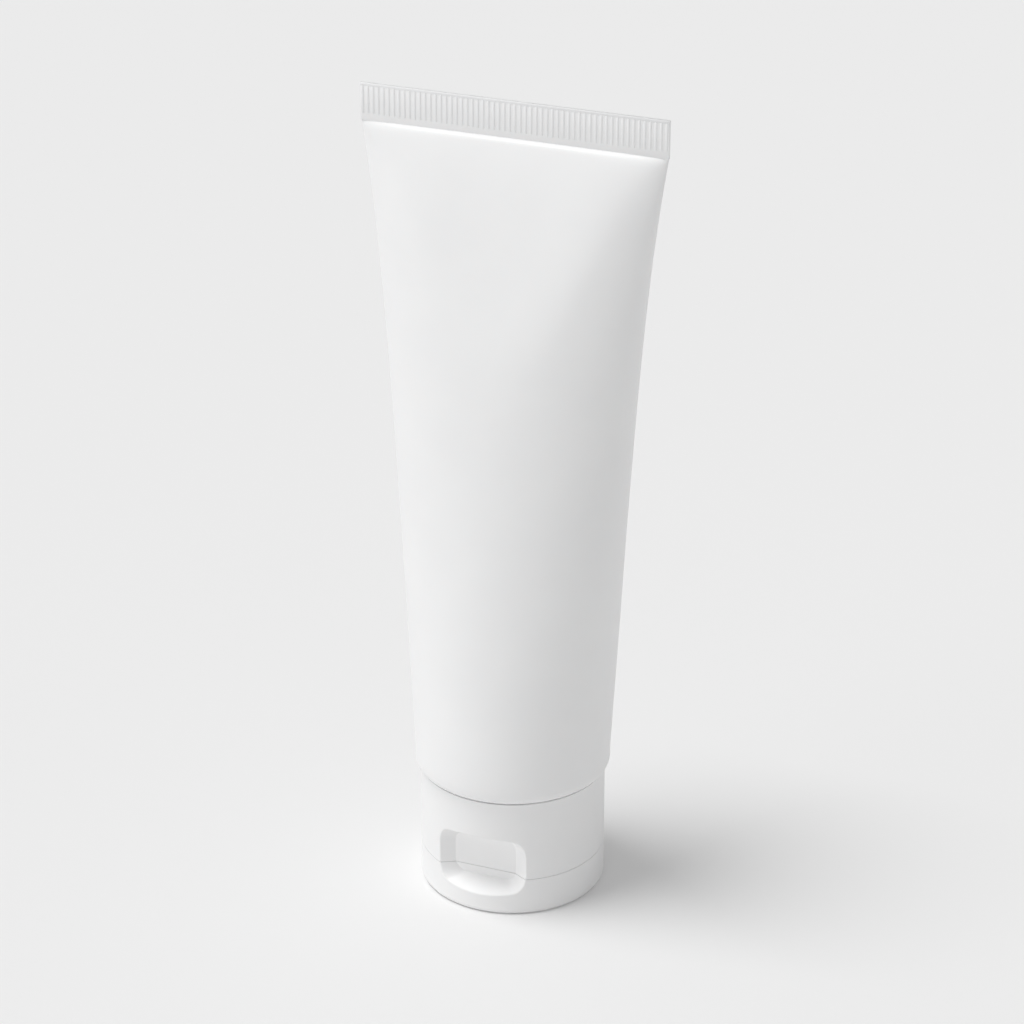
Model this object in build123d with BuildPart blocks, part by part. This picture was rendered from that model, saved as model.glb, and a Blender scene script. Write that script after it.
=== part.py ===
"""A blank stand-up toothpaste tube, standing on its flip-top cap.

The frame has +Z up, with its origin on the floor under the middle of the cap.
The crimped seal runs along X, and the thumb scoop of the cap faces -Y.
All sizes are in millimetres.
"""

import os
from math import atan2, cos, pi, radians, sqrt, tan

from build123d import *

os.makedirs("parts", exist_ok=True)

# ---------------------------------------------------------------- driving dimensions

# the sleeve, crimped flat at its top
tube_radius = 19.0          # round end of the sleeve
tube_height = 159.0         # floor to the top of the seal
sleeve_wall = 0.45
seal_height = 6.9
seal_thickness = 1.0
late_flare = 0.2            # share of the widening that comes just below the seal
flare_power = 6
facet_depth = 2.3           # the flat front panel's distance from the middle, at the seal
facet_slope = 12.4          # degrees that the panel leans out from the vertical
facet_length = 60.0
shoulder_round = 1.8        # rounded lower edge of the sleeve
loft_steps = 10

# the moulded head
shoulder_wall = 1.1
shoulder_clearance = 0.3    # from the inside of the cap to where the cone starts
shoulder_angle = 24.4       # slope of the cone, in degrees
shoulder_rim = 1.65         # straight rim that the sleeve is welded to
weld_gap = 0.02             # between the head and the sleeve that is welded round it
neck_radius = 6.7
neck_bore = 4.0
thread_depth = 0.8
thread_pitch = 3.0
thread_root = 1.7           # width of the ridge where it meets the neck
thread_crest = 0.7
thread_turns = 2.0
thread_bite = 0.1           # what the ridge's root sinks into the neck
thread_lead_in = 1.6        # from the mouth of the neck to the thread

# the paste
air_gap = 11.0              # empty height under the seal
fill_clearance = 0.15

# the flip-top cap
cap_radius = 18.0
cap_height = 24.4
lid_height = 7.8            # the parting plane
cap_wall = 1.5
deck_thickness = 1.5
lid_plate = 1.6
lid_edge_round = 1.0
foot_recess = 0.35          # the lid stands on a ring round a shallow recess
foot_ring = 2.4             # width of that ring, inside the rounded edge
seam_gap = 0.15             # between the cap's rim and the sleeve
parting_gap = 0.1           # between the lid and the base
land_height = 0.6           # disc on the deck that centres the lid
land_clearance = 0.6
socket_wall = 1.3
socket_gap = 0.6            # between the end of the socket and the shoulder
thread_clearance = 0.15
neck_seat_gap = 0.25        # between the mouth of the neck and the deck
spigot_length = 3.0
spigot_clearance = 0.2
rib_count = 8
rib_thickness = 0.9
rib_height = 5.5
rib_bite = 0.2              # what a rib's ends sink into the walls they join

# the nozzle and its plug
orifice_radius = 2.5
nozzle_wall = 2.1
nozzle_height = 2.6
nozzle_round = 0.7
plug_clearance = 0.15
plug_taper = 0.2            # what the plug narrows by, on the radius
plug_reach = 3.4            # how far the plug enters the orifice
collar_clearance = 0.7
collar_wall = 0.8
collar_height = 2.0

# the thumb scoop, cut through the front of the base and the lid
scoop_depth = 3.9           # from the cap's face to the back wall
scoop_half_width = 6.3      # of the back wall
scoop_side_slope = 60.9     # degrees that the side walls open by
scoop_floor = 6.0           # height of the ledge at the back wall
scoop_floor_drop = 2.0      # what the ledge falls by to the cap's face
scoop_top = 15.1            # height of the back wall's upper edge
scoop_top_rise = 1.6
scoop_corner = 2.6
scoop_outer_corner = 5.6
scoop_wall = 1.3
scoop_overrun = 1.0         # how far the hollow's form runs past the cap's face
scoop_edge_round = 0.35

# the film hinge at the back of the cap
hinge_half_width = 4.5
hinge_thickness = 0.4
hinge_film = 0.2            # what is left of the strap at its waist
hinge_waist = 0.5           # half the height of the thinned part
hinge_reach = 1.45          # what the strap laps over each side of the parting plane
hinge_depth = 0.7           # how deep its seat lies under the cap's face
hinge_margin = 0.2

# ---------------------------------------------------------------- derived sizes

seal_half_width = pi * tube_radius / 2
seal_base = tube_height - seal_height
sleeve_bottom = cap_height + seam_gap
round_end = sleeve_bottom + shoulder_round
rim_top = round_end + shoulder_rim
hem_radius = tube_radius - shoulder_round
cap_inside = cap_radius - cap_wall
cone_radius = cap_inside - shoulder_clearance
cone_tangent = tan(radians(shoulder_angle))
cone_base = sleeve_bottom + seam_gap
neck_top = cone_base - (cone_radius - neck_radius) * cone_tangent
crest_radius = neck_radius + thread_depth
base_bottom = lid_height + parting_gap / 2
lid_top = lid_height - parting_gap / 2
deck_top = base_bottom + deck_thickness
neck_mouth = deck_top + neck_seat_gap
spigot_top = deck_top + spigot_length
nozzle_bottom = base_bottom - nozzle_height
nozzle_radius = orifice_radius + nozzle_wall
hinge_seat = cap_radius - hinge_depth


# ---------------------------------------------------------------- the oval body

def half_width(z):
    """Half the width of the sleeve at a height: it spreads towards the seal."""
    share = (z - rim_top) / (seal_base - rim_top)
    spread = (1 - late_flare) * share + late_flare * share**flare_power
    return tube_radius + (seal_half_width - tube_radius) * spread


def half_depth(z):
    """Half the depth that keeps the sleeve's girth, found by halving."""
    wide = half_width(z)
    low, high = seal_thickness / 2, tube_radius
    for _ in range(40):
        middle = (low + high) / 2
        bulge = ((wide - middle) / (wide + middle)) ** 2
        girth = pi * (wide + middle) * (1 + 3 * bulge / (10 + sqrt(4 - 3 * bulge)))
        if girth < 2 * pi * tube_radius:
            low = middle
        else:
            high = middle
    return low


def oval_form(inset, top):
    """The oval body from the head's rim up to a height, inset all round."""
    run = facet_length * tan(radians(facet_slope))
    panel = facet_depth - inset
    with BuildPart() as form:
        for step in range(loft_steps + 1):
            z = rim_top + (top - rim_top) * step / loft_steps
            with BuildSketch(Plane.XY.offset(z)):
                Ellipse(half_width(z) - inset, half_depth(z) - inset)
        loft()
        with BuildSketch(Plane.YZ):
            for side in (-1, 1):
                upper = (side * panel, seal_base)
                lower = (side * (panel + run), seal_base - facet_length)
                far = side * 2 * tube_radius
                Polygon(upper, lower, (far, lower[1]), (far, seal_base), align=None)
        extrude(amount=2 * seal_half_width, both=True, mode=Mode.SUBTRACT)
    return form.part


# ---------------------------------------------------------------- the tube sleeve

cavity_top = seal_base - 2 * seal_thickness
sleeve_outside = oval_form(0, seal_base)
sleeve_inside = oval_form(sleeve_wall, cavity_top)

with BuildPart() as tube_sleeve:
    add(sleeve_outside)
    with BuildSketch(Plane.XY.offset(seal_base)):
        Rectangle(2 * seal_half_width, seal_thickness)
    extrude(amount=seal_height)
    add(sleeve_inside, mode=Mode.SUBTRACT)
    # the round end, its rounded edge, and the hem that lies under the shoulder
    with BuildSketch(Plane.XZ):
        with BuildLine():
            inner_round = shoulder_round - sleeve_wall
            outer = CenterArc((hem_radius, round_end), shoulder_round, 0, -90)
            inner = CenterArc((hem_radius, round_end), inner_round, 0, -90)
            Polyline(
                outer @ 0,
                (tube_radius, rim_top),
                (tube_radius - sleeve_wall, rim_top),
                inner @ 0,
            )
            Polyline(
                outer @ 1,
                (cone_radius, sleeve_bottom),
                (cone_radius, sleeve_bottom + sleeve_wall),
                inner @ 1,
            )
        make_face()
    revolve(axis=Axis.Z)

tube_sleeve.part.label = "tube_sleeve"
export_step(tube_sleeve.part, "parts/tube_sleeve.step")

# ---------------------------------------------------------------- the tube head

rim_radius = tube_radius - sleeve_wall - weld_gap
rim_round = shoulder_round - sleeve_wall - weld_gap
cone_thickness = shoulder_wall / cos(radians(shoulder_angle))
bore_top = neck_top - (neck_radius - neck_bore) * cone_tangent + cone_thickness
cone_inside = bore_top + (cone_radius - neck_bore) * cone_tangent
seat_radius = cone_radius - weld_gap

with BuildPart() as tube_head:
    with BuildSketch(Plane.XZ):
        with BuildLine():
            corner = CenterArc((hem_radius, round_end), rim_round, 0, -90)
            Polyline(
                corner @ 1,
                (seat_radius, round_end - rim_round),
                (seat_radius, cone_base - weld_gap * cone_tangent),
                (neck_radius, neck_top),
                (neck_radius, neck_mouth),
                (neck_bore, neck_mouth),
                (neck_bore, bore_top),
                (cone_radius, cone_inside),
                (rim_radius - shoulder_wall, rim_top),
                (rim_radius, rim_top),
                corner @ 0,
            )
        make_face()
    revolve(axis=Axis.Z)
    # the single-start thread
    with BuildLine() as thread_path:
        Helix(
            pitch=thread_pitch,
            height=thread_pitch * thread_turns,
            radius=neck_radius - thread_bite,
            center=(0, 0, neck_mouth + thread_lead_in),
        )
    start = thread_path.line @ 0
    with BuildSketch(Plane.XZ):
        Polygon(
            (start.X, start.Z - thread_root / 2),
            (crest_radius, start.Z - thread_crest / 2),
            (crest_radius, start.Z + thread_crest / 2),
            (start.X, start.Z + thread_root / 2),
            align=None,
        )
    sweep(path=thread_path.line, is_frenet=True)

tube_head.part.label = "tube_head"
export_step(tube_head.part, "parts/tube_head.step")

# ---------------------------------------------------------------- the paste

fill_inset = sleeve_wall + fill_clearance
fill_top = seal_base - air_gap
fill_base = rim_top + fill_clearance
fill_rim = rim_radius - shoulder_wall - fill_clearance
fill_neck = neck_bore - fill_clearance
fill_lift = fill_clearance / cos(radians(shoulder_angle))
paste_body = oval_form(fill_inset, fill_top)

with BuildPart() as paste_fill:
    add(paste_body)
    split(bisect_by=Plane.XY.offset(fill_base), keep=Keep.TOP)
    # the plug of paste inside the head and its neck
    with BuildSketch(Plane.XZ):
        with BuildLine():
            Polyline(
                (0, spigot_top + fill_clearance),
                (fill_neck, spigot_top + fill_clearance),
                (fill_neck, bore_top + fill_lift),
                (cone_radius - fill_clearance, cone_inside + fill_lift),
                (fill_rim, rim_top),
                (fill_rim, fill_base + shoulder_rim),
                (0, fill_base + shoulder_rim),
                close=True,
            )
        make_face()
    revolve(axis=Axis.Z)

paste_fill.part.label = "paste_fill"
export_step(paste_fill.part, "parts/paste_fill.step")

# ---------------------------------------------------------------- shared forms of the cap

def scoop_form(grow):
    """The thumb scoop's hollow, opening towards -Y, grown on every side."""
    side = radians(scoop_side_slope)
    floor = atan2(scoop_floor_drop, scoop_depth)
    roof = atan2(scoop_top_rise, scoop_depth)
    with BuildPart() as form:
        for depth, corner in (
            (-grow, scoop_corner + grow),
            (scoop_depth + scoop_overrun, scoop_outer_corner + grow),
        ):
            wide = scoop_half_width + depth * tan(side) + grow / cos(side)
            low = scoop_floor - depth * tan(floor) - grow / cos(floor)
            high = scoop_top + depth * tan(roof) + grow / cos(roof)
            with BuildSketch(Plane.XZ.offset(cap_radius - scoop_depth + depth)):
                with Locations((0, (low + high) / 2)):
                    RectangleRounded(2 * wide, high - low, corner)
        loft()
    return form.part


def within_cap(form, low, high):
    """What of a form lies inside the cap's skin, between two heights."""
    on_base = (Align.CENTER, Align.CENTER, Align.MIN)
    skin = Cylinder(cap_radius - cap_wall / 2, high - low, align=on_base)
    return form & (Pos(0, 0, low) * skin)


def on_scoop_rim(edge):
    """Whether an edge is where the scoop meets the cap's round face."""
    return all(
        abs(sqrt((edge @ share).X ** 2 + (edge @ share).Y ** 2) - cap_radius) < 0.01
        and (edge @ share).Y < 0
        and scoop_floor - scoop_floor_drop - 1 < (edge @ share).Z < cap_height - 0.1
        for share in (0.2, 0.5, 0.8)
    )


def off_parting(edge):
    """Whether an edge leaves the parting plane's neighbourhood."""
    return max((edge @ 0).Z, (edge @ 1).Z) - min((edge @ 0).Z, (edge @ 1).Z) > parting_gap


scoop = scoop_form(0)
scoop_block = scoop_form(scoop_wall)
hinge_seat_size = (
    2 * (hinge_half_width + hinge_margin),
    2 * hinge_depth,
    2 * (hinge_reach + hinge_margin),
)

# ---------------------------------------------------------------- the cap base

socket_radius = crest_radius + thread_clearance
socket_outside = socket_radius + socket_wall
socket_slope_end = neck_top + (socket_radius - neck_radius) * cone_tangent
socket_top = socket_slope_end - socket_gap
spigot_radius = neck_bore - spigot_clearance
land_radius = cap_radius - scoop_depth - scoop_wall - land_clearance
rib_run = cap_inside - socket_outside
base_scoop_wall = within_cap(scoop_block, base_bottom, cap_height)

with BuildPart() as cap_base:
    with BuildSketch(Plane.XZ):
        with BuildLine():
            Polyline(
                (orifice_radius, nozzle_bottom),
                (nozzle_radius, nozzle_bottom),
                (nozzle_radius, base_bottom - land_height),
                (land_radius, base_bottom - land_height),
                (land_radius, base_bottom),
                (cap_radius, base_bottom),
                (cap_radius, cap_height),
                (cap_inside, cap_height),
                (cap_inside, deck_top),
                (socket_outside, deck_top),
                (socket_outside, socket_top),
                (socket_radius, socket_top),
                (socket_radius, deck_top),
                (spigot_radius, deck_top),
                (spigot_radius, spigot_top),
                (orifice_radius, spigot_top),
                close=True,
            )
        make_face()
    revolve(axis=Axis.Z)
    fillet(cap_base.edges().group_by(Axis.Z)[0].sort_by(SortBy.RADIUS)[-1], nozzle_round)
    # ribs that carry the skirt from the socket
    with BuildSketch(Plane.XY.offset(deck_top)):
        with PolarLocations(socket_outside + rib_run / 2, rib_count, start_angle=180 / rib_count):
            Rectangle(rib_run + 2 * rib_bite, rib_thickness)
    extrude(amount=rib_height)
    add(base_scoop_wall)
    add(scoop, mode=Mode.SUBTRACT)
    fillet(cap_base.edges().filter_by(on_scoop_rim).filter_by(off_parting), scoop_edge_round)
    with Locations((0, hinge_seat + hinge_depth, lid_height)):
        Box(*hinge_seat_size, mode=Mode.SUBTRACT)

cap_base.part.label = "cap_base"
export_step(cap_base.part, "parts/cap_base.step")

# ---------------------------------------------------------------- the lid

foot_inside = cap_radius - lid_edge_round - foot_ring
collar_inside = nozzle_radius + collar_clearance
collar_outside = collar_inside + collar_wall
plug_root = orifice_radius - plug_clearance
lid_scoop_wall = within_cap(scoop_block, lid_plate / 2, lid_top)

with BuildPart() as cap_lid:
    with BuildSketch(Plane.XZ):
        with BuildLine():
            Polyline(
                (0, foot_recess),
                (foot_inside, foot_recess),
                (foot_inside, 0),
                (cap_radius, 0),
                (cap_radius, lid_top),
                (cap_inside, lid_top),
                (cap_inside, lid_plate),
                (collar_outside, lid_plate),
                (collar_outside, lid_plate + collar_height),
                (collar_inside, lid_plate + collar_height),
                (collar_inside, lid_plate),
                (plug_root, lid_plate),
                (plug_root, nozzle_bottom),
                (plug_root - plug_taper, nozzle_bottom + plug_reach),
                (0, nozzle_bottom + plug_reach),
                close=True,
            )
        make_face()
    revolve(axis=Axis.Z)
    fillet(cap_lid.edges().group_by(Axis.Z)[0].sort_by(SortBy.RADIUS)[-1], lid_edge_round)
    add(lid_scoop_wall)
    add(scoop, mode=Mode.SUBTRACT)
    fillet(cap_lid.edges().filter_by(on_scoop_rim).filter_by(off_parting), scoop_edge_round)
    with Locations((0, hinge_seat + hinge_depth, lid_height)):
        Box(*hinge_seat_size, mode=Mode.SUBTRACT)

cap_lid.part.label = "cap_lid"
export_step(cap_lid.part, "parts/cap_lid.step")

# ---------------------------------------------------------------- the film hinge

with BuildPart() as living_hinge:
    with BuildSketch(Plane.YZ):
        with BuildLine():
            outer = hinge_seat + hinge_thickness
            waist = hinge_seat + hinge_film
            Polyline(
                (hinge_seat, lid_height - hinge_reach),
                (outer, lid_height - hinge_reach),
                (outer, lid_height - hinge_waist),
                (waist, lid_height - parting_gap),
                (waist, lid_height + parting_gap),
                (outer, lid_height + hinge_waist),
                (outer, lid_height + hinge_reach),
                (hinge_seat, lid_height + hinge_reach),
                close=True,
            )
        make_face()
    extrude(amount=hinge_half_width, both=True)

living_hinge.part.label = "living_hinge"
export_step(living_hinge.part, "parts/living_hinge.step")
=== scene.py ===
# %% [markdown]
# # A blank stand-up toothpaste tube
# The tube stands on its flip-top cap. Its sleeve is pressed flat at the top into a ribbed seal.
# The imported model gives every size. This lesson makes the sleeve, the film hinge, the plastics,
# the floor and the light, and keeps the moulded cap pieces as they are.

# %% Load the model
import math

import bpy
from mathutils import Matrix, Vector


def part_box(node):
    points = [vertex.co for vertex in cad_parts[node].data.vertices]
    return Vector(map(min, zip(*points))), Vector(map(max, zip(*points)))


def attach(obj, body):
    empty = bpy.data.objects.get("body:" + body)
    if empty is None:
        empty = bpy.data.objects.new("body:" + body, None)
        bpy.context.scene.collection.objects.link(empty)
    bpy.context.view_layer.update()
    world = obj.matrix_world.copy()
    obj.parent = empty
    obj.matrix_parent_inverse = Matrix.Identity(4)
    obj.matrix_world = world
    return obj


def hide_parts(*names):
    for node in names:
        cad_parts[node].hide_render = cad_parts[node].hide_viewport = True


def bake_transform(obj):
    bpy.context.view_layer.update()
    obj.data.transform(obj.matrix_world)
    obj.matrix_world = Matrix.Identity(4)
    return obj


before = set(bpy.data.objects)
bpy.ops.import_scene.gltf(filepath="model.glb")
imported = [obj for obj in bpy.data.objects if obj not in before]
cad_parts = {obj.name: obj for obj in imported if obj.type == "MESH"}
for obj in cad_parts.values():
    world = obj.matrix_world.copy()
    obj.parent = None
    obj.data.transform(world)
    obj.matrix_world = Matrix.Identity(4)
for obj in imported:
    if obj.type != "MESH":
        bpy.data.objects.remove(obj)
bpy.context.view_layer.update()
MM = 0.001

# %% [markdown]
# ## The camera
# A long lens from well back keeps the tube's sides nearly parallel. The camera is placed by its
# angle round the tube, its height above the floor and its distance, so each is easy to change.

# %% Place the camera
CAMERA_TURN = math.radians(22.014)
CAMERA_RISE = math.radians(25.036)
CAMERA_DISTANCE = 636.17 * MM
CAMERA_LENS = 118.33
CAMERA_SENSOR = 36
aim = Vector((-0.16 * MM, -0.06 * MM, 77.87 * MM))
to_camera = Vector((
    math.sin(CAMERA_TURN) * math.cos(CAMERA_RISE),
    -math.cos(CAMERA_TURN) * math.cos(CAMERA_RISE),
    math.sin(CAMERA_RISE),
))
bpy.ops.object.camera_add(location=aim + to_camera * CAMERA_DISTANCE)
camera = bpy.context.object
camera.rotation_euler = (-to_camera).to_track_quat("-Z", "Y").to_euler()
camera.data.lens = CAMERA_LENS
camera.data.sensor_width = CAMERA_SENSOR
bpy.context.scene.camera = camera
print("camera at", [round(part / MM, 1) for part in camera.location])

# %% [markdown]
# ## Measures of the sleeve
# A sleeve is a round pipe of thin plastic. Pressing one end flat doesn't stretch it, so the seal
# is half the pipe's girth wide, and every level between keeps that girth. The widths spread
# almost evenly from the round end to the seal, and a little faster just below it.

# %% Read the sizes off the model
sleeve_low, sleeve_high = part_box("tube_sleeve")
cap_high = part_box("cap_base")[1]
RADIUS = sleeve_high.y
SEAL_WIDE = sleeve_high.x
SEAL_TOP = sleeve_high.z
SEAL_TALL = 6.9 * MM
SEAL_BASE = SEAL_TOP - SEAL_TALL
SLEEVE_WALL = 0.45 * MM
EDGE_ROUND = 1.8 * MM
RIM_HEIGHT = 1.65 * MM
SLEEVE_END = sleeve_low.z
ROUND_END = SLEEVE_END + EDGE_ROUND
RIM_TOP = ROUND_END + RIM_HEIGHT
HEM_WIDE = 1.8 * MM
HEM_INSIDE = cap_high.x - HEM_WIDE
SEAL_HALF_THICK = 0.5 * MM
GIRTH = 2 * math.pi * RADIUS
EVEN_SPREAD = 0.8
LATE_SPREAD = 0.2
LATE_POWER = 6
THINNEST_SHARE = 0.7
HALVINGS = 40


def half_width(z):
    """Half the sleeve's width at a height."""
    share = (z - RIM_TOP) / (SEAL_BASE - RIM_TOP)
    return RADIUS + (SEAL_WIDE - RADIUS) * (EVEN_SPREAD * share + LATE_SPREAD * share**LATE_POWER)


def half_depth(wide):
    """Half the depth of an oval of that half width that keeps the girth."""
    low = SEAL_HALF_THICK * THINNEST_SHARE
    high = RADIUS
    for _ in range(HALVINGS):
        middle = (low + high) / 2
        bulge = ((wide - middle) / (wide + middle)) ** 2
        round_it = math.pi * (wide + middle) * (1 + 3 * bulge / (10 + math.sqrt(4 - 3 * bulge)))
        if round_it < GIRTH:
            low = middle
        else:
            high = middle
    return low


print("seal", round(2 * SEAL_WIDE / MM, 1), "mm wide, sleeve", round(2 * RADIUS / MM, 1), "mm")

# %% [markdown]
# ## Small helpers
# An operator acts on all that is selected, so each piece starts with nothing selected. The sleeve
# is told its body when it is done, and a piece's shading is smooth except across true edges.

# %% Helpers
MERGE_GAP = 0.0005 * MM


def select_none():
    """Clears the selection in object mode."""
    if bpy.context.object and bpy.context.object.mode != "OBJECT":
        bpy.ops.object.mode_set(mode="OBJECT")
    bpy.ops.object.select_all(action="DESELECT")


def select_only(piece):
    """Makes one object the selected and active one."""
    select_none()
    piece.select_set(True)
    bpy.context.view_layer.objects.active = piece


def settle(piece, edge_angle=40):
    """Puts a piece's place into its mesh, points its faces outward and smooths it."""
    select_only(piece)
    bpy.ops.object.transform_apply(location=True, rotation=True, scale=True)
    bpy.ops.object.mode_set(mode="EDIT")
    bpy.ops.mesh.select_all(action="SELECT")
    bpy.ops.mesh.remove_doubles(threshold=MERGE_GAP)
    bpy.ops.mesh.normals_make_consistent(inside=False)
    bpy.ops.object.mode_set(mode="OBJECT")
    bpy.ops.object.shade_smooth_by_angle(angle=math.radians(edge_angle))


def use_modifier(piece, kind, **values):
    """Adds a modifier with these values and applies it."""
    select_only(piece)
    bpy.ops.object.modifier_add(type=kind)
    modifier = piece.modifiers[-1]
    for name, value in values.items():
        setattr(modifier, name, value)
    bpy.ops.object.modifier_apply(modifier=modifier.name)


# %% [markdown]
# ## The sleeve's body
# It could be lofted between curves, but growing it ring by ring shows how a pipe turns into a
# flat end. A circle is extruded round the lower edge first, then up in small steps, and each new
# ring is resized to the oval of its height. The steps get closer towards the seal.

# %% Grow the body from one ring
RING_POINTS = 160
EDGE_STEPS = 6
BODY_STEPS = 72
CROWDING = 1.2
select_none()
bpy.ops.mesh.primitive_circle_add(
    vertices=RING_POINTS, radius=HEM_INSIDE, location=(0, 0, SLEEVE_END)
)
sleeve = bpy.context.object
sleeve.name = "sleeve"
bpy.ops.object.transform_apply(location=True)
bpy.ops.object.mode_set(mode="EDIT")
bpy.ops.mesh.select_all(action="SELECT")

levels = []
for step in range(EDGE_STEPS + 1):
    turn = math.pi / 2 * step / EDGE_STEPS
    reach = RADIUS - EDGE_ROUND + EDGE_ROUND * math.sin(turn)
    levels.append((ROUND_END - EDGE_ROUND * math.cos(turn), reach, reach))
levels.append((RIM_TOP, RADIUS, RADIUS))
for step in range(1, BODY_STEPS + 1):
    share = math.sin(math.pi / 2 * step / BODY_STEPS) ** CROWDING
    height = RIM_TOP + (SEAL_BASE - RIM_TOP) * share
    wide = half_width(height)
    levels.append((height, wide, half_depth(wide)))

ring = (SLEEVE_END, HEM_INSIDE, HEM_INSIDE)
for level in levels:
    bpy.ops.mesh.extrude_region_move(TRANSFORM_OT_translate={"value": (0, 0, level[0] - ring[0])})
    bpy.ops.transform.resize(
        value=(level[1] / ring[1], level[2] / ring[2], 1), center_override=(0, 0, level[0])
    )
    ring = level
bpy.ops.object.mode_set(mode="OBJECT")
print("body rings:", len(levels) + 1, "points:", len(sleeve.data.vertices))

# %% [markdown]
# ## The flat panels and their creases
# Below the seal the front and back are pulled into flat triangles, with a soft crease down each
# side that dies out where the paste fills the tube. Each point in front of the panel is eased
# back to it with a rounded minimum, which leaves a soft fold instead of a sharp cut. Right
# under the seal the walls part quickly, so the points there are lifted to the panel sooner.

# %% Flatten the panels
PANEL_DEPTH = 2.3 * MM
PANEL_TUCK = 1.3 * MM
TUCK_REACH = 6.0 * MM
PANEL_SLOPE = math.tan(math.radians(13.4))
FOLD_SOFTNESS = 0.9 * MM
LIFT_REACH = 1.5 * MM
LIFT_START = 0.4 * MM


def eased_minimum(first, second, softness):
    """The smaller of two lengths, rounded over where they are close."""
    blend = max(0.0, min(1.0, 0.5 + 0.5 * (second - first) / softness))
    return second + (first - second) * blend - softness * blend * (1 - blend)


for point in sleeve.data.vertices:
    if point.co.z > RIM_TOP:
        below = SEAL_BASE - point.co.z
        panel = PANEL_DEPTH + below * PANEL_SLOPE - PANEL_TUCK * math.exp(-below / TUCK_REACH)
        lift = 1 + math.exp(-below / LIFT_REACH) * (1 - math.exp(-below / LIFT_START))
        depth = eased_minimum(abs(point.co.y) * lift, panel, FOLD_SOFTNESS)
        point.co.y = math.copysign(max(depth, 0.0), point.co.y)
print("panels lean", round(math.degrees(math.atan(PANEL_SLOPE)), 1), "degrees")

# %% [markdown]
# The filled tube isn't a perfect form: the paste leaves shallow waves that the light picks up.
# Each point moves inward by up to a fifth of a millimetre, along slow waves, and never outward.

# %% Add the slow waves of a filled tube
WAVE_DEPTH = 0.06 * MM
SECOND_WAVE = 0.6
HIGHEST_WAVE = 1.6
for point in sleeve.data.vertices:
    rise = (point.co.z - RIM_TOP) / (SEAL_BASE - RIM_TOP)
    if 0 < rise < 1:
        around = math.atan2(point.co.y, point.co.x)
        wave = math.sin(3 * around + 7 * rise) + SECOND_WAVE * math.sin(5 * around - 11 * rise + 1.3)
        fade = math.sin(math.pi * rise) ** 2
        shrink = 1 + WAVE_DEPTH * (wave - HIGHEST_WAVE) * fade / RADIUS
        point.co.x *= shrink
        point.co.y *= shrink
print("waves up to", round(2 * HIGHEST_WAVE * WAVE_DEPTH / MM, 2), "mm deep")

# %% [markdown]
# The wall is real: Solidify gives the skin its thickness inward, once the faces point outward.

# %% Give the body its wall
settle(sleeve)
use_modifier(sleeve, "SOLIDIFY", thickness=SLEEVE_WALL, offset=-1)
print("wall", SLEEVE_WALL / MM, "mm")

# %% [markdown]
# ## The crimped seal
# Heated jaws press the two walls into one plate and leave ribs across it, with a plain lip above
# and a plain band below. The plate is a cube at its size with bevelled edges. One rib is made
# and bevelled, and an array repeats it along the seal. Each rib runs through the plate, so the back
# has its own.

# %% Press the plate
PLATE_HALF_THICK = 0.36 * MM
LIP = 0.45 * MM
BAND = 1.1 * MM
OVERLAP = 0.3 * MM
PLATE_EDGE = 0.12 * MM
select_none()
plate_low = SEAL_BASE - OVERLAP
bpy.ops.mesh.primitive_cube_add(size=1, location=(0, 0, (plate_low + SEAL_TOP) / 2))
plate = bpy.context.object
plate.scale = (2 * SEAL_WIDE, 2 * PLATE_HALF_THICK, SEAL_TOP - plate_low)
bpy.ops.object.transform_apply(scale=True)
bpy.ops.object.mode_set(mode="EDIT")
bpy.ops.mesh.select_all(action="SELECT")
bpy.ops.mesh.bevel(offset=PLATE_EDGE, segments=2)
settle(plate)
print("plate", round(2 * PLATE_HALF_THICK / MM, 2), "mm thick")

# %% [markdown]
# A real crimping jaw has evenly cut teeth, so one rib at the first place stands for them all.

# %% Make one rib and repeat it
RIB_PITCH = 1.03 * MM
RIB_WIDE = 0.52 * MM
RIB_EDGE = 0.18 * MM
rib_count = int((2 * SEAL_WIDE - RIB_WIDE) / RIB_PITCH) + 1
rib_low = SEAL_BASE + BAND
rib_high = SEAL_TOP - LIP
first_rib = -RIB_PITCH * (rib_count - 1) / 2
select_none()
bpy.ops.mesh.primitive_cube_add(size=1, location=(first_rib, 0, (rib_low + rib_high) / 2))
ribs = bpy.context.object
ribs.scale = (RIB_WIDE, 2 * SEAL_HALF_THICK, rib_high - rib_low)
bpy.ops.object.transform_apply(scale=True)
bpy.ops.object.mode_set(mode="EDIT")
bpy.ops.mesh.select_all(action="SELECT")
bpy.ops.mesh.bevel(offset=RIB_EDGE, segments=2)
settle(ribs)
use_modifier(
    ribs, "ARRAY", count=rib_count, use_relative_offset=False,
    use_constant_offset=True, constant_offset_displace=(RIB_PITCH, 0, 0),
)
print("ribs on each face:", rib_count)

# %% [markdown]
# The lip along the top edge stands as proud as the ribs, so it is one long bar with soft edges.

# %% Add the lip
LIP_THICK = 1.7
LIP_EDGE = 0.1 * MM
select_none()
bpy.ops.mesh.primitive_cube_add(size=1, location=(0, 0, SEAL_TOP - LIP / 2))
lip = bpy.context.object
lip.scale = (2 * SEAL_WIDE, LIP_THICK * SEAL_HALF_THICK, LIP)
bpy.ops.object.transform_apply(scale=True)
bpy.ops.object.mode_set(mode="EDIT")
bpy.ops.mesh.select_all(action="SELECT")
bpy.ops.mesh.bevel(offset=LIP_EDGE, segments=2)
settle(lip)
print("lip", round(LIP / MM, 2), "mm tall")

# %% [markdown]
# The sleeve is one piece on the real tube, so body, plate, ribs and lip become one object. They
# stay closed shells that overlap, which keeps each one simple.

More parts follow.
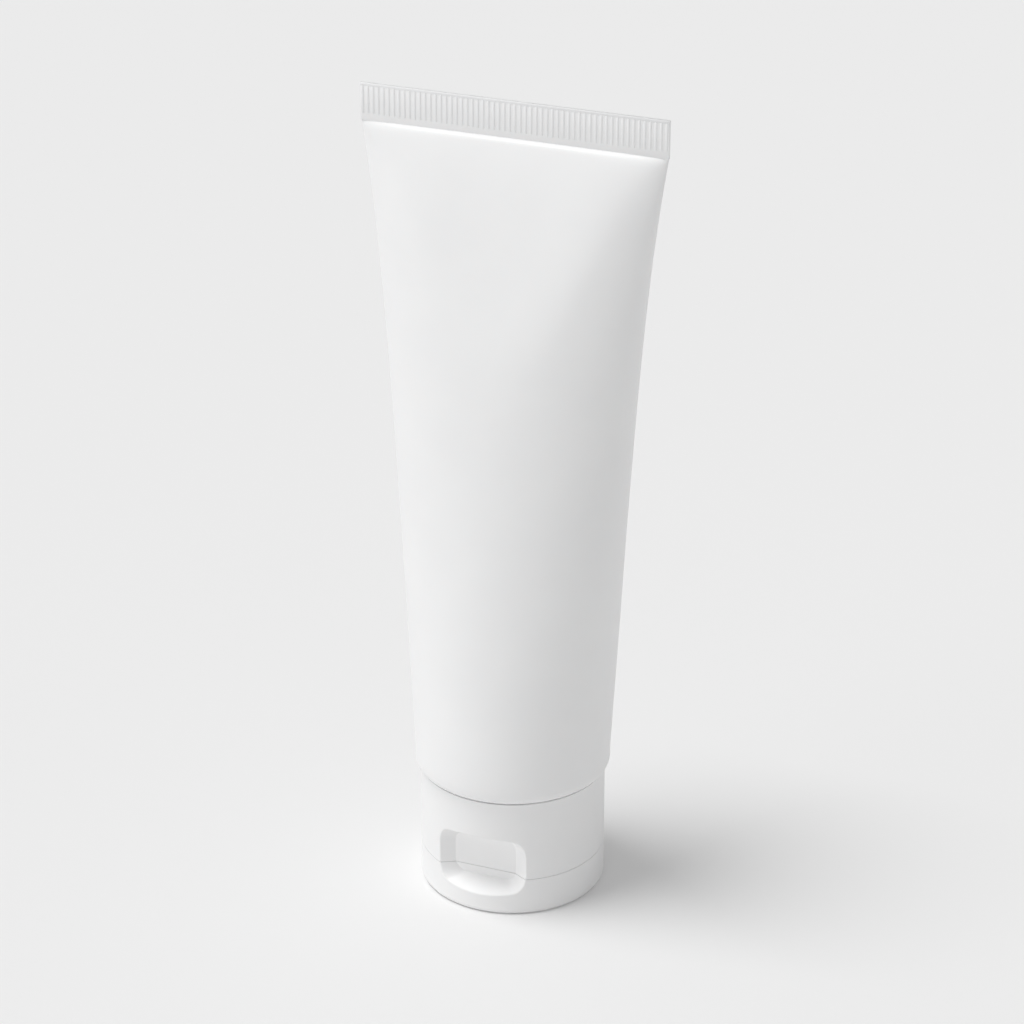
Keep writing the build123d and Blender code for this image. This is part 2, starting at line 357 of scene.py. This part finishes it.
# %% Join the sleeve and its seal
select_none()
for part in (plate, ribs, lip, sleeve):
    part.select_set(True)
bpy.context.view_layer.objects.active = sleeve
bpy.ops.object.join()
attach(sleeve, "tube")
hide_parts("tube_sleeve")
print("sleeve faces:", len(sleeve.data.polygons))

# %% [markdown]
# ## The film hinge
# The cap and its lid are moulded in one shot and joined at the back by a strap thinned to a
# film at its waist. Opening the lid bends only that waist, so the strap needs many short rows of
# faces there. It is a cube at its size, cut into rows, with its outer face drawn in at the waist.

# %% Make the strap in rows with a thin waist
hinge_low, hinge_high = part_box("living_hinge")
hinge_middle = (hinge_low + hinge_high) / 2
FILM = 0.2 * MM
WAIST = 0.5 * MM
HINGE_ROWS = 28
select_none()
bpy.ops.mesh.primitive_cube_add(size=1, location=hinge_middle)
strap = bpy.context.object
strap.name = "film_hinge"
strap.scale = hinge_high - hinge_low
bpy.ops.object.transform_apply(location=True, scale=True)
bpy.ops.object.mode_set(mode="EDIT")
for row in range(1, HINGE_ROWS):
    bpy.ops.mesh.select_all(action="SELECT")
    height = hinge_low.z + (hinge_high.z - hinge_low.z) * row / HINGE_ROWS
    bpy.ops.mesh.bisect(plane_co=(0, 0, height), plane_no=(0, 0, 1))
bpy.ops.object.mode_set(mode="OBJECT")
for point in strap.data.vertices:
    if point.co.y > hinge_middle.y:
        near = max(0.0, 1 - abs(point.co.z - hinge_middle.z) / WAIST)
        point.co.y -= (hinge_high.y - hinge_low.y - FILM) * math.sin(math.pi / 2 * near)
settle(strap, edge_angle=60)
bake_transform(strap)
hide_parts("living_hinge")
print("strap rows:", HINGE_ROWS)

# %% [markdown]
# ## The plastics
# All of the pack is white, but not one finish. The sleeve is a soft satin film with a faint
# orange peel. The cap is harder and was moulded in a spark-eroded tool, which leaves a finer,
# more even grain. Noise in object space gives the grain, the small change of tone and the
# uneven sheen that handling leaves.

# %% A recipe for white plastic


def white_plastic(name, light, dark, gloss, dull, grain_size, grain_depth, wave_depth, glow):
    """A satin white plastic with grain, slow waves, uneven sheen and a faint depth."""
    material = bpy.data.materials.new(name)
    material.use_nodes = True
    nodes, links = material.node_tree.nodes, material.node_tree.links
    shader = nodes["Principled BSDF"]
    place = nodes.new("ShaderNodeTexCoord")

    def noise(size, detail):
        cloud = nodes.new("ShaderNodeTexNoise")
        cloud.inputs["Scale"].default_value = 1 / size
        cloud.inputs["Detail"].default_value = detail
        links.new(place.outputs["Object"], cloud.inputs["Vector"])
        return cloud.outputs["Fac"]

    def between(factor, low, high):
        ramp = nodes.new("ShaderNodeMapRange")
        ramp.inputs["From Min"].default_value = 0.35
        ramp.inputs["From Max"].default_value = 0.65
        ramp.inputs["To Min"].default_value = low
        ramp.inputs["To Max"].default_value = high
        links.new(factor, ramp.inputs["Value"])
        return ramp.outputs["Result"]

    tone = nodes.new("ShaderNodeMix")
    tone.data_type = "RGBA"
    tone.inputs["A"].default_value = (*light, 1)
    tone.inputs["B"].default_value = (*dark, 1)
    links.new(between(noise(14 * MM, 3), 0, 1), tone.inputs["Factor"])
    links.new(tone.outputs["Result"], shader.inputs["Base Color"])
    links.new(between(noise(5 * MM, 5), gloss, dull), shader.inputs["Roughness"])

    waves = nodes.new("ShaderNodeBump")
    waves.inputs["Distance"].default_value = wave_depth
    links.new(noise(9 * MM, 1), waves.inputs["Height"])
    grain = nodes.new("ShaderNodeBump")
    grain.inputs["Distance"].default_value = grain_depth
    links.new(noise(grain_size, 2), grain.inputs["Height"])
    links.new(waves.outputs["Normal"], grain.inputs["Normal"])
    links.new(grain.outputs["Normal"], shader.inputs["Normal"])

    shader.inputs["IOR"].default_value = 1.5
    shader.inputs["Subsurface Weight"].default_value = glow
    shader.inputs["Subsurface Radius"].default_value = (1.2, 1.0, 0.9)
    shader.inputs["Subsurface Scale"].default_value = 0.6 * MM
    return material


# %% Finish every piece
sleeve_film = white_plastic(
    "sleeve_film", light=(0.895, 0.895, 0.895), dark=(0.88, 0.88, 0.882), gloss=0.42, dull=0.50,
    grain_size=0.35 * MM, grain_depth=0.004 * MM, wave_depth=0.05 * MM, glow=0.08,
)
cap_plastic = white_plastic(
    "cap_plastic", light=(0.885, 0.885, 0.885), dark=(0.87, 0.87, 0.872), gloss=0.44, dull=0.52,
    grain_size=0.16 * MM, grain_depth=0.003 * MM, wave_depth=0.01 * MM, glow=0.06,
)
head_plastic = white_plastic(
    "head_plastic", light=(0.78, 0.78, 0.77), dark=(0.75, 0.75, 0.74), gloss=0.34, dull=0.44,
    grain_size=0.25 * MM, grain_depth=0.003 * MM, wave_depth=0.02 * MM, glow=0.1,
)
paste_gel = white_plastic(
    "paste_gel", light=(0.80, 0.84, 0.84), dark=(0.76, 0.81, 0.82), gloss=0.12, dull=0.24,
    grain_size=0.8 * MM, grain_depth=0.01 * MM, wave_depth=0.2 * MM, glow=0.3,
)
finishes = {
    sleeve: sleeve_film,
    strap: cap_plastic,
    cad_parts["cap_base"]: cap_plastic,
    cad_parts["cap_lid"]: cap_plastic,
    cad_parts["tube_head"]: head_plastic,
    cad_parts["paste_fill"]: paste_gel,
}
for piece, material in finishes.items():
    piece.data.materials.clear()
    piece.data.materials.append(material)
print("finished pieces:", len(finishes))

# %% [markdown]
# ## The floor
# A pale studio sweep with no visible horizon. One wide plane is enough, because the camera looks
# down on it. Its material is matt, so that it takes a soft shadow.

# %% Lay the floor
FLOOR_SIZE = 12.0
select_none()
bpy.ops.mesh.primitive_plane_add(size=FLOOR_SIZE, location=(0, 0, 0))
floor = bpy.context.object
floor.name = "floor"
floor_paper = bpy.data.materials.new("floor_paper")
floor_paper.use_nodes = True
paper = floor_paper.node_tree.nodes["Principled BSDF"]
paper.inputs["Base Color"].default_value = (0.83, 0.83, 0.83, 1)
paper.inputs["Roughness"].default_value = 0.95
paper.inputs["Specular IOR Level"].default_value = 0.1
floor.data.materials.append(floor_paper)
print("floor", FLOOR_SIZE, "m wide")

# %% [markdown]
# ## The light
# A soft key high on the left drops a short soft shadow to the right. A low lamp on the same side
# models the round form, and a weak one opposite lifts the far edge. Those two cast no shadow, so
# the floor keeps one only. With the room's even light, a level surface comes out at about its
# own colour, and the white plastic stays below pure white.

# %% Hang the lamps


def sun_lamp(name, turn, rise, spread, level, casts_shadow):
    """A distant soft lamp. Turn 0 is over the camera, and level 1 lights a facing white fully."""
    angle = CAMERA_TURN + math.radians(turn)
    height = math.radians(rise)
    away = Vector((
        math.sin(angle) * math.cos(height),
        -math.cos(angle) * math.cos(height),
        math.sin(height),
    ))
    bpy.ops.object.light_add(type="SUN", location=aim + away)
    lamp = bpy.context.object
    lamp.name = name
    lamp.rotation_euler = away.to_track_quat("Z", "Y").to_euler()
    lamp.data.angle = math.radians(spread)
    lamp.data.energy = math.pi * level
    lamp.data.use_shadow = casts_shadow


sun_lamp("key", turn=-86, rise=72, spread=26, level=0.50, casts_shadow=True)
sun_lamp("side", turn=-72, rise=22, spread=50, level=0.24, casts_shadow=False)
sun_lamp("far_edge", turn=80, rise=15, spread=60, level=0.03, casts_shadow=False)
ROOM_LEVEL = 0.43
room = bpy.data.worlds.new("room")
room.use_nodes = True
room.node_tree.nodes["Background"].inputs["Color"].default_value = (1, 1, 1, 1)
room.node_tree.nodes["Background"].inputs["Strength"].default_value = ROOM_LEVEL
bpy.context.scene.world = room
bpy.context.scene.view_settings.view_transform = "Standard"
print("room light level:", ROOM_LEVEL)
